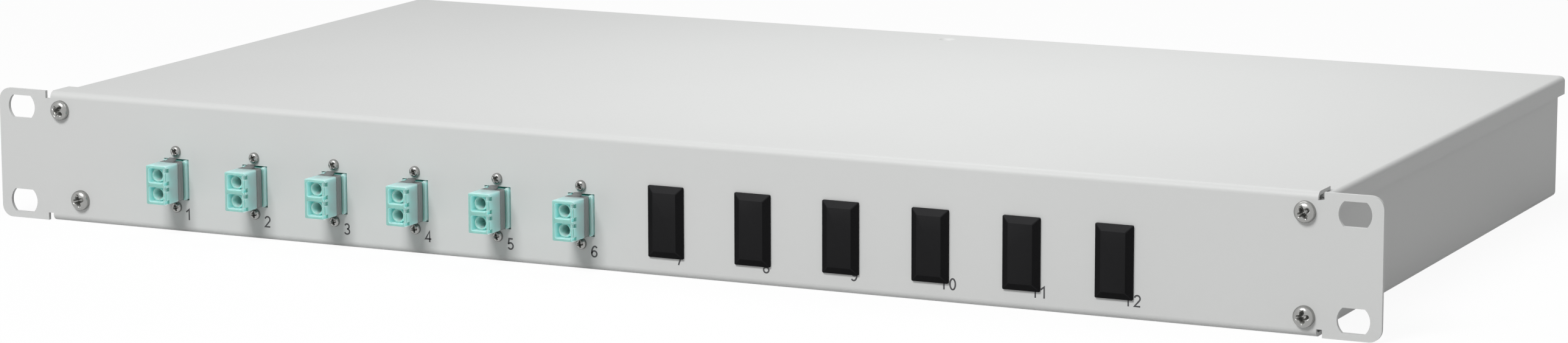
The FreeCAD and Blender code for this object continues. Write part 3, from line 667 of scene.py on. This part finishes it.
def socket(size, face, inward):
    """Upper half of an adapter's end face with its socket, as one stack of rings.

    The rings go from the half's edge to the socket's mouth, down its walls to the floor, out along
    the ferrule barrel and into the barrel's hole.
    """
    edge = size.block_round
    width = size.block_width - 2 * edge
    half = size.block_height / 2 - edge
    middle = size.fibre_pitch / 2
    barrel, hole, depth = size.barrel_width, size.barrel_hole, size.port_depth
    front = depth - size.barrel_reach

    def mouth(more):
        return outline(size.port_width + more, size.port_height + more, MOUTH_CORNER + more / 2,
                       middle=middle)

    def circle(across):
        return outline(across, across, across / 2, middle=middle)

    stations = ((0.0, outline(width, half, edge, 0.0, half / 2)),
                (0.0, mouth(LEAD)), (LEAD, mouth(0.0)),
                (depth, mouth(0.0)), (depth, circle(barrel)),
                (front + BARREL_BEVEL, circle(barrel)), (front, circle(barrel - 2 * BARREL_BEVEL)),
                (front, circle(hole + HOLE_BEVEL)), (front + HOLE_BEVEL, circle(hole)),
                (depth + HOLE_DEPTH, circle(hole)))
    rings = stack(*[(face + inward * step, line) for step, line in stations])
    return capped(rings, first=False)


def adapter(size, face, end):
    """Adapter body: rounded rectangles stacked from face to face, and two sockets in each face."""
    edge = size.block_round
    flange = size.flange_depth
    neck_front = face + size.block_length
    collar_front = PLATE_FRONT - size.collar_reach
    low, high = box_mm("adapter_1")

    def block_line(less, radius):
        return shell_line(size.block_width - less, size.block_height - less, radius)

    def collar_line(less, radius):
        return shell_line(size.collar_width - less, size.collar_height - less, radius)

    block = block_line(0.0, edge + BLOCK_CORNER)
    mid_edge = block_line(MID_LESS * edge, edge + BLOCK_CORNER / 2)
    end_face = block_line(2 * edge, edge)
    neck = block_line(2 * size.neck_step, edge)
    collar = collar_line(0.0, 3 * edge)
    wing = shell_line(high[0] - low[0], high[2] - low[2], WING_CORNER)
    rings = stack((face, end_face), (face + edge * MID_BACK, mid_edge), (face + edge, block),
                  (neck_front - edge, block), (neck_front, mid_edge), (neck_front, neck),
                  (collar_front, neck), (collar_front, collar_line(3 * edge, 1.5 * edge)),
                  (collar_front + edge / 2, collar_line(edge, 2.5 * edge)),
                  (collar_front + 1.5 * edge, collar), (0.0, collar),
                  (0.0, wing), (flange, wing), (flange, block), (end - edge, block),
                  (end - edge * MID_BACK, mid_edge), (end, end_face))
    halves = [half for upper in (socket(size, face, 1), socket(size, end, -1))
              for half in (upper, upside_down(upper))]
    return joined([grid(rings), *halves])


def box_surface(left, right, front, back, low, high):
    """Plain box as a stack of two rings."""
    line = np.array(((right, high), (left, high), (left, low), (right, low)))
    return capped(stack((front, line), (back, line)))


def adapter_cuts(size, face):
    """Boxes cut from an adapter: notches and a channel at its face's right edge, and clip slots."""
    side = size.block_width / 2
    pitch = size.fibre_pitch
    right, front = side + PAST, face - PAST
    notches = [box_surface(side - NOTCH_WIDE, right, front, face + NOTCH_DEEP,
                           port + up - NOTCH_TALL / 2, port + up + NOTCH_TALL / 2)
               for port in (-pitch / 2, pitch / 2) for up in NOTCHES_UP]
    channel = box_surface(side - NOTCH_WIDE / 2, right, front, face + NOTCH_DEEP / 4,
                          CHANNEL_SHORT - pitch, pitch - CHANNEL_SHORT)
    neck = size.block_height / 2 - size.neck_step
    slot = box_surface(-SLOT_HALF, SLOT_HALF, PLATE_FRONT - size.collar_reach - SLOT_FRONT,
                       size.flange_depth + PAST, neck, size.collar_height / 2 + SLOT_TOP)
    return joined([*notches, channel, slot, upside_down(slot)])


def cut_out(surface, cutter):
    """First surface less the second, as points and faces."""
    whole, tool = (add_object("cut", clean_mesh("cut", points, faces, JOIN_GAP))
                   for points, faces in (surface, cutter))
    work = whole.modifiers.new("cut", "BOOLEAN")
    work.object = tool
    work.solver = "EXACT"
    work.use_self = True
    depsgraph = bpy.context.evaluated_depsgraph_get()
    mesh = bpy.data.meshes.new_from_object(whole.evaluated_get(depsgraph))
    result = points_of(mesh), [list(face.vertices) for face in mesh.polygons]
    for used in (whole.data, tool.data, mesh):
        bpy.data.meshes.remove(used)
    return result


class PANEL_OT_adapters(bpy.types.Operator):
    """Duplex adapters with their sockets, ferrule barrels and edge notches"""
    bl_idname = "panel.adapters"
    bl_label = "Adapters"

    def execute(self, context):
        size = sizes()
        low, high = box_mm("adapter_1")
        body = cut_out(adapter(size, low[1], high[1]), adapter_cuts(size, low[1]))
        place_pieces("adapter_body", body, ADAPTERS, "adapter_plastic", "adapter")
        return {"FINISHED"}


# Spring clips

# Play between the block and the band, the band's play across the neck, and its inner corner
BAND_START, BAND_PLAY, BAND_CORNER = 0.1, 0.1, 0.35
# Finger: how far its ends stay inside the band, half its width and how much that narrows
FINGER_START, FINGER_END, FINGER_HALF, FINGER_NARROW = 0.3, 0.1, 1.7, 0.35
# Its lift and the power of that curve, and the slope of its curl and the part where that starts
FINGER_LIFT, LIFT_POWER, CURL_SLOPE, CURL_START = 1.0, 1.6, 0.5, 0.75


def clip_band(size, start, end, ribs=3, rows=37):
    """Band round the neck: a section across the strip, carried round a rounded rectangle.

    The outer side of the section rises in cosine ribs, and the inner side is plain.
    """
    width = size.block_width - 2 * size.neck_step
    height = size.block_height - 2 * size.neck_step
    part = np.linspace(0, 1, rows)
    rise = size.clip_rib * np.clip(np.cos(2 * np.pi * ribs * (part - 0.5)), 0, 1) ** 2
    out = np.concatenate((size.clip_sheet + rise, (0.0, 0.0)))
    place = np.concatenate((start + (end - start) * part, (end, start)))
    rings = stack(*[(depth, outline(width + 2 * more + BAND_PLAY, height + 2 * more + BAND_PLAY,
                                    BAND_CORNER + more)) for more, depth in zip(out, place)])
    return grid(rings, round_rows=True)


def clip_finger(size, start, end, rows=14):
    """Spring finger on top of the band: a strip that lifts along a power curve and curls down."""
    base = size.block_height / 2 - size.neck_step + BAND_PLAY / 2
    sheet = size.clip_sheet
    part = np.linspace(0, 1, rows)
    back = start + (end - start) * part
    curl = CURL_SLOPE * np.clip(part - CURL_START, 0, 1)
    up = base + sheet + FINGER_LIFT * part ** LIFT_POWER - curl
    half = FINGER_HALF - FINGER_NARROW * part ** 3
    corner = np.array(((1, 0.5), (-1, 0.5), (-1, -0.5), (1, -0.5)))
    across = half[:, None] * corner[:, 0]
    height = up[:, None] + sheet * corner[:, 1]
    depth = np.repeat(back[:, None], len(corner), 1)
    return capped(np.stack((across, depth, height), -1))


class PANEL_OT_clips(bpy.types.Operator):
    """Spring clips round the adapters' necks, with a finger above and below"""
    bl_idname = "panel.clips"
    bl_label = "Spring clips"

    def execute(self, context):
        size = sizes()
        start = box_mm("adapter_1")[0][1] + size.block_length + BAND_START
        end = box_mm("adapter_clip_1")[1][1]
        finger = clip_finger(size, start + FINGER_START, end - FINGER_END)
        clip = joined((clip_band(size, start, end), finger, upside_down(finger)))
        place_pieces("adapter_spring", clip, ADAPTERS, "clip_steel", "adapter_clip")
        return {"FINISHED"}


# Blanking plugs

# Corners of the cap and the skirt, and how long and how wide the bevel at the skirt's end is
CAP_CORNER, SKIRT_CORNER, SKIRT_RUN, SKIRT_BEVEL = 0.4, 0.3, 0.5, 0.3


def plug(size, low, high):
    """Plug as one stack of rounded rectangles: bevelled cap, then the skirt outside and inside."""
    width, height = high[0] - low[0], high[2] - low[2]
    face, end = low[1] + size.plug_set, high[1]

    def cap(less):
        return outline(width - 2 * less, height - 2 * less, CAP_CORNER)

    def skirt(less):
        return outline(size.collar_width - 2 * less, size.collar_height - 2 * less, SKIRT_CORNER)

    return capped(stack((face, cap(size.plug_bevel)), (face + size.plug_slope, cap(0.0)),
                        (PLATE_FRONT, cap(0.0)), (PLATE_FRONT, skirt(0.0)),
                        (end - SKIRT_RUN, skirt(0.0)), (end, skirt(SKIRT_BEVEL)),
                        (end, skirt(size.plug_wall)), (PLATE_FRONT, skirt(size.plug_wall))))


class PANEL_OT_plugs(bpy.types.Operator):
    """Bevelled blanking plugs in the empty positions"""
    bl_idname = "panel.plugs"
    bl_label = "Blanking plugs"

    def execute(self, context):
        size = sizes()
        cap = plug(size, *box_mm("blank_plug_7"))
        for piece in place_pieces("plug_cap", cap, PLUGS, "plug_plastic", "blank_plug", SOFT_ANGLE):
            soften(piece, size.plug_edge)
        return {"FINISHED"}


# Printed numbers

# Pen strokes of each figure, in a cell 0.6 wide and 1 high. A stroke is an arc of an ellipse
# (middle across and up, half width and half height, first and last angle) or a line of points.
FIGURES = {
    "0": [(0.3, 0.5, 0.24, 0.45, 0, 360)],
    "1": [((0.0, 0.72), (0.3, 0.95), (0.3, 0.0))],
    "2": [(0.3, 0.7, 0.24, 0.25, 165, -35), ((0.5, 0.55), (0.06, 0.05), (0.56, 0.05))],
    "3": [(0.28, 0.73, 0.21, 0.22, 160, -90), (0.28, 0.28, 0.25, 0.23, 90, -160)],
    "4": [((0.44, 0.0), (0.44, 0.95), (0.04, 0.28), (0.6, 0.28))],
    "5": [((0.52, 0.95), (0.15, 0.95), (0.09, 0.47)), (0.29, 0.32, 0.25, 0.27, 145, -150)],
    "6": [(0.3, 0.3, 0.24, 0.25, 0, 360), (0.36, 0.4, 0.3, 0.55, 190, 50)],
    "7": [((0.04, 0.95), (0.54, 0.95), (0.2, 0.0))],
    "8": [(0.3, 0.73, 0.2, 0.22, 0, 360), (0.3, 0.27, 0.24, 0.24, 0, 360)],
    "9": [(0.3, 0.7, 0.24, 0.25, 0, 360), (0.24, 0.6, 0.3, 0.55, 10, -130)],
}
# Width of a cell and the step to the next one, by the figures' height
CELL_WIDTH, CELL_STEP = 0.6, 0.78
ARC_POINTS = 25
# Thickness of the ink, and the least cosine by which a stroke is widened at a bend
INK, LEAST_COSINE = 0.02, 0.5


def stroke_line(stroke):
    """Points along a pen stroke."""
    if isinstance(stroke[0], tuple):
        return np.array(stroke)
    across, up, half_width, half_height, first, last = stroke
    angle = np.radians(np.linspace(first, last, ARC_POINTS))
    return np.stack((across + half_width * np.cos(angle), up + half_height * np.sin(angle)), 1)


def pen_stroke(line, width):
    """Flat bar of ink along a line: at each point it is widened along the bisector of the bend."""
    ahead = np.diff(line, axis=0)
    ahead /= np.linalg.norm(ahead, axis=1)[:, None]
    closed = np.allclose(line[0], line[-1])
    before = np.vstack((ahead[-1] if closed else ahead[0], ahead))
    after = np.vstack((ahead, ahead[0] if closed else ahead[-1]))
    mean = before + after
    mean /= np.linalg.norm(mean, axis=1)[:, None]
    stretch = 1 / np.maximum((mean * before).sum(1), LEAST_COSINE)
    aside = np.stack((-mean[:, 1], mean[:, 0]), 1) * (stretch * width / 2)[:, None]
    top = PLATE_FRONT - INK
    edges = ((line + aside, PLATE_FRONT), (line + aside, top),
             (line - aside, top), (line - aside, PLATE_FRONT))
    rings = np.stack([ring_at(edge, depth) for edge, depth in edges], 1)
    return grid(rings[:-1], round_rows=True) if closed else capped(rings)


def number_surface(text, height, stroke, across, up):
    """Printed number on the plate's front, with its middle at a place."""
    start = across - (CELL_WIDTH + CELL_STEP * (len(text) - 1)) * height / 2
    bars = []
    for order, figure in enumerate(text):
        corner = np.array((start + order * CELL_STEP * height, up - height / 2))
        bars += [pen_stroke(stroke_line(line) * height + corner, stroke)
                 for line in FIGURES[figure]]
    return joined(bars)


class PANEL_OT_numbers(bpy.types.Operator):
    """Printed port numbers below and right of the positions"""
    bl_idname = "panel.numbers"
    bl_label = "Port numbers"

    def execute(self, context):
        size = sizes()
        surfaces = []
        for number in PORTS:
            across, up = port_middle(number)
            text = str(number)
            shift = size.number_across if len(text) == 1 else size.number_wide
            surfaces.append(number_surface(text, size.number_height, size.number_stroke,
                                           across + shift, up - size.number_up))
        make_piece("port_numbers", joined(surfaces), "plug_plastic", finish=finish_of("ink"))
        return {"FINISHED"}


# Cable entries

# Gland cap: what is left of the hexagon's corners, the ribbed circle's mean and rise by half its
# height, and the hexagon's part at the wall and where it gives way to the circle
CAP_CORNERS, RIB_MEAN, RIB_RISE, CAP_WALL_PART, CAP_END_PART = 0.97, 0.97, 0.02, 0.96, 0.95
# Its bevel at the wall, that at the hexagon's end, the step to the circle and the mouth's bevel
CAP_WALL_BEVEL, CAP_END_BEVEL, CAP_STEP, CAP_LEAD = 0.5, 0.8, 0.6, 0.4


def gland_cap(size, low, high, columns=144, ribs=24, dome_rows=9):
    """Gland cap as rings about Y, whose radius is a hexagon's and then a ribbed circle's.

    It is a hexagon near the wall and turns into the circle, which closes in a quarter ellipse. The
    rings then go down the mouth and back along the bore to the start.
    """
    middle, start, end = (low + high) / 2, low[1], high[1]
    flat, corner = (high[2] - low[2]) / 2, (high[0] - low[0]) / 2
    angle = full_turn(columns)
    hexagon = np.minimum(flat / np.cos(angle % (np.pi / 3) - np.pi / 6), corner * CAP_CORNERS)
    circle = flat * (RIB_MEAN + RIB_RISE * np.cos(ribs * angle))
    plain = np.ones(columns)
    bore, mouth = size.cap_bore / 2, size.cap_mouth / 2
    dome, wall = size.cap_dome, end - size.cap_wall
    lean = np.linspace(0, np.pi / 2, dome_rows)
    shrink = 1 - dome / flat * (1 - np.cos(lean))
    half = start + (end - start) * 0.5
    stations = [(start, hexagon * CAP_WALL_PART), (start + CAP_WALL_BEVEL, hexagon),
                (half - CAP_END_BEVEL, hexagon), (half, hexagon * CAP_END_PART),
                (half + CAP_STEP, circle)]
    stations += [(end - dome * (1 - math.sin(turn)), circle * part)
                 for turn, part in zip(lean, shrink)]
    stations += [(end, plain * (mouth + CAP_LEAD)), (end - CAP_LEAD, plain * mouth),
                 (wall, plain * mouth), (wall, plain * bore), (start, plain * bore)]
    cap = grid(turned_rings(angle, stations), round_rows=True)
    return moved(cap, middle[0], middle[2])


class PANEL_OT_cable_entries(bpy.types.Operator):
    """Ribbed cap of the cable gland, and finishes of its other pieces and of the stopper"""
    bl_idname = "panel.cable_entries"
    bl_label = "Cable entries"

    def execute(self, context):
        size = sizes()
        cap = gland_cap(size, *box_mm("gland_cap_nut"))
        make_piece("gland_cap", cap, "gland_plastic", ["gland_cap_nut"])
        dress("gland_body", "gland_seal", "gland_locknut", "entry_stopper")
        for node in ("gland_body", "gland_locknut", "entry_stopper"):
            soften(frame["nodes"][node], size.nut_edge)
        return {"FINISHED"}


# Other pieces kept from the CAD model

class PANEL_OT_sheet_metal(bpy.types.Operator):
    """Paint on the front plate, the housing tray and the sliding lid"""
    bl_idname = "panel.sheet_metal"
    bl_label = "Sheet metal"

    def execute(self, context):
        dress("front_plate", "housing_tray", "lid")
        return {"FINISHED"}


class PANEL_OT_splice_cassette(bpy.types.Operator):
    """Finishes of the splice cassette, its cover, combs, stud and nut, and of the fibre guides"""
    bl_idname = "panel.splice_cassette"
    bl_label = "Splice cassette"

    def execute(self, context):
        dress("splice_cassette", "cassette_cover", "splice_combs", "cassette_stud",
              "cassette_nut", "fibre_guides")
        size = sizes()
        for node in ("splice_combs", "fibre_guides"):
            soften(frame["nodes"][node], size.tray_edge)
        # The cover lies on the cassette's rim; a hair's breadth keeps the two faces apart
        seat = frame["nodes"]["cassette_cover"].modifiers.new("seat", "DISPLACE")
        seat.direction = "Z"
        seat.mid_level = 0.0
        seat.strength = size.cover_gap * MM
        return {"FINISHED"}


# Stage

# Camera fitted to the photo: its place, its turns in degrees and its focal length in pixels
CAMERA_AT = (665.0, -1298.1, 272.3)
CAMERA_TURN, CAMERA_PITCH, CAMERA_ROLL = -25.433, -10.162, -0.125
FOCAL_PIXELS, PHOTO_WIDTH, SENSOR = 7787.6, 2576, 36.0
# Lamps in metres and watts: name, place, aim, width and depth, power
LAMPS = (
    ("overhead", (0.06, 0.17, 0.3), (0.06, 0.17, 0.0), (0.3, 0.25), 0.45),
    ("key", (-0.25, -1.4, 1.4), (0.0, 0.1, 0.0), (0.8, 0.6), 30.5),
)
WHITE = (1.0, 1.0, 1.0, 1.0)
# Strength of the world's light on the object
AMBIENT = 0.31
# Half the floor's side in metres, its tone, and the strength and share of the white seen on it
FLOOR_HALF, FLOOR_TONE, FLOOR_GLOW, FLOOR_SHARE = 6.0, 0.6, 1.04, 0.9


def camera_matrix():
    """Place and turn of the camera: a turn about Z, a pitch, then a roll about its own axis."""
    turn, pitch, roll = np.radians((CAMERA_TURN, CAMERA_PITCH, CAMERA_ROLL)).tolist()
    ahead = Vector((math.sin(turn) * math.cos(pitch), math.cos(turn) * math.cos(pitch),
                    math.sin(pitch)))
    level = Vector((math.cos(turn), -math.sin(turn), 0.0))
    above = level.cross(ahead)
    right = math.cos(roll) * level + math.sin(roll) * above
    up = math.cos(roll) * above - math.sin(roll) * level
    matrix = Matrix((right, up, -ahead)).transposed().to_4x4()
    matrix.translation = Vector(CAMERA_AT) * MM
    return matrix


def add_camera():
    """Camera that sees the object as the photo does."""
    data = bpy.data.cameras.new("camera")
    data.sensor_width = SENSOR
    data.sensor_fit = "HORIZONTAL"
    data.lens = FOCAL_PIXELS / PHOTO_WIDTH * SENSOR
    camera = add_object("camera", data)
    camera.matrix_world = camera_matrix()
    bpy.context.scene.camera = camera


def add_lamp(name, at, aim, size, power):
    """Soft rectangular lamp that points at a place."""
    data = bpy.data.lights.new(name, "AREA")
    data.shape = "RECTANGLE"
    data.size, data.size_y = size
    data.energy = power
    lamp = add_object(name, data)
    lamp.location = at
    lamp.rotation_euler = (Vector(aim) - Vector(at)).to_track_quat("-Z", "Y").to_euler()


def seen_directly(tree):
    """1 for rays from the camera, from a mirror reflection or through glass, else 0."""
    path = add(tree, "ShaderNodeLightPath").outputs
    mirror = add(tree, "ShaderNodeMath", {0: path["Is Camera Ray"], 1: path["Is Glossy Ray"]},
                 operation="MAXIMUM")
    glass = add(tree, "ShaderNodeMath", {0: mirror.outputs[0], 1: path["Is Transmission Ray"]},
                operation="MAXIMUM")
    return glass.outputs[0]


def floor_finish():
    """Pale paper sweep: near white to the eye, and it keeps a soft shadow of the object."""
    material = new_material("pale_paper_sweep")
    tree = material.node_tree
    paper = add(tree, "ShaderNodeBsdfDiffuse", {"Color": (FLOOR_TONE, FLOOR_TONE, FLOOR_TONE, 1.0)})
    white = add(tree, "ShaderNodeEmission", {"Color": WHITE, "Strength": FLOOR_GLOW})
    share = add(tree, "ShaderNodeMath", {0: seen_directly(tree), 1: FLOOR_SHARE},
                operation="MULTIPLY")
    mixed = add(tree, "ShaderNodeMixShader", {
        0: share.outputs[0], 1: paper.outputs["BSDF"], 2: white.outputs["Emission"]})
    add(tree, "ShaderNodeOutputMaterial", {"Surface": mixed.outputs["Shader"]})
    return material


def white_world():
    """White to the eye, and a weaker even light on the object."""
    world = bpy.data.worlds.new("studio")
    bpy.context.scene.world = world
    world.use_nodes = True
    tree = world.node_tree
    tree.nodes.clear()
    strength = add(tree, "ShaderNodeMapRange", {
        "Value": seen_directly(tree), "To Min": AMBIENT, "To Max": 1.0})
    sky = add(tree, "ShaderNodeBackground", {
        "Color": WHITE, "Strength": strength.outputs["Result"]})
    add(tree, "ShaderNodeOutputWorld", {"Surface": sky.outputs["Background"]})


class PANEL_OT_stage(bpy.types.Operator):
    """Pale floor, soft studio light and the camera"""
    bl_idname = "panel.stage"
    bl_label = "Stage"

    def execute(self, context):
        context.scene.view_settings.view_transform = "Standard"
        mesh = bpy.data.meshes.new("floor")
        corners = np.array(((-1, -1), (1, -1), (1, 1), (-1, 1))) * FLOOR_HALF
        up = np.full((4, 1), FLOOR_UP * MM)
        mesh.from_pydata(np.hstack((corners, up)).tolist(), [], [[0, 1, 2, 3]])
        mesh.materials.append(floor_finish())
        floor = add_object("floor", mesh)
        white_world()
        for lamp in LAMPS:
            add_lamp(*lamp)
        add_camera()
        return {"FINISHED"}


class PANEL_PT_pieces(bpy.types.Panel):
    """Lists the pieces, their sizes and their colours"""
    bl_idname = "PANEL_PT_pieces"
    bl_label = "Fibre patch panel"
    bl_space_type = "VIEW_3D"
    bl_region_type = "UI"
    bl_category = "Patch panel"

    def draw(self, context):
        for operator in OPERATORS:
            self.layout.operator(operator.bl_idname)
        for group in (context.scene.panel_sizes, context.scene.panel_colours):
            box = self.layout.box()
            for name in group.__annotations__:
                box.prop(group, name)


OPERATORS = (PANEL_OT_sheet_metal, PANEL_OT_screws, PANEL_OT_adapters, PANEL_OT_clips,
             PANEL_OT_plugs, PANEL_OT_numbers, PANEL_OT_cable_entries, PANEL_OT_splice_cassette,
             PANEL_OT_stage)
CLASSES = (PanelSizes, PanelColours, *OPERATORS, PANEL_PT_pieces)


def register():
    for item in CLASSES:
        bpy.utils.register_class(item)
    bpy.types.Scene.panel_sizes = PointerProperty(type=PanelSizes)
    bpy.types.Scene.panel_colours = PointerProperty(type=PanelColours)


def unregister():
    del bpy.types.Scene.panel_sizes
    del bpy.types.Scene.panel_colours
    for item in reversed(CLASSES):
        bpy.utils.unregister_class(item)


def main():
    register()
    bpy.ops.panel.sheet_metal()
    bpy.ops.panel.screws()
    bpy.ops.panel.adapters()
    bpy.ops.panel.clips()
    bpy.ops.panel.plugs()
    bpy.ops.panel.numbers()
    bpy.ops.panel.cable_entries()
    bpy.ops.panel.splice_cassette()
    bpy.ops.panel.stage()


if __name__ == "__main__":
    main()
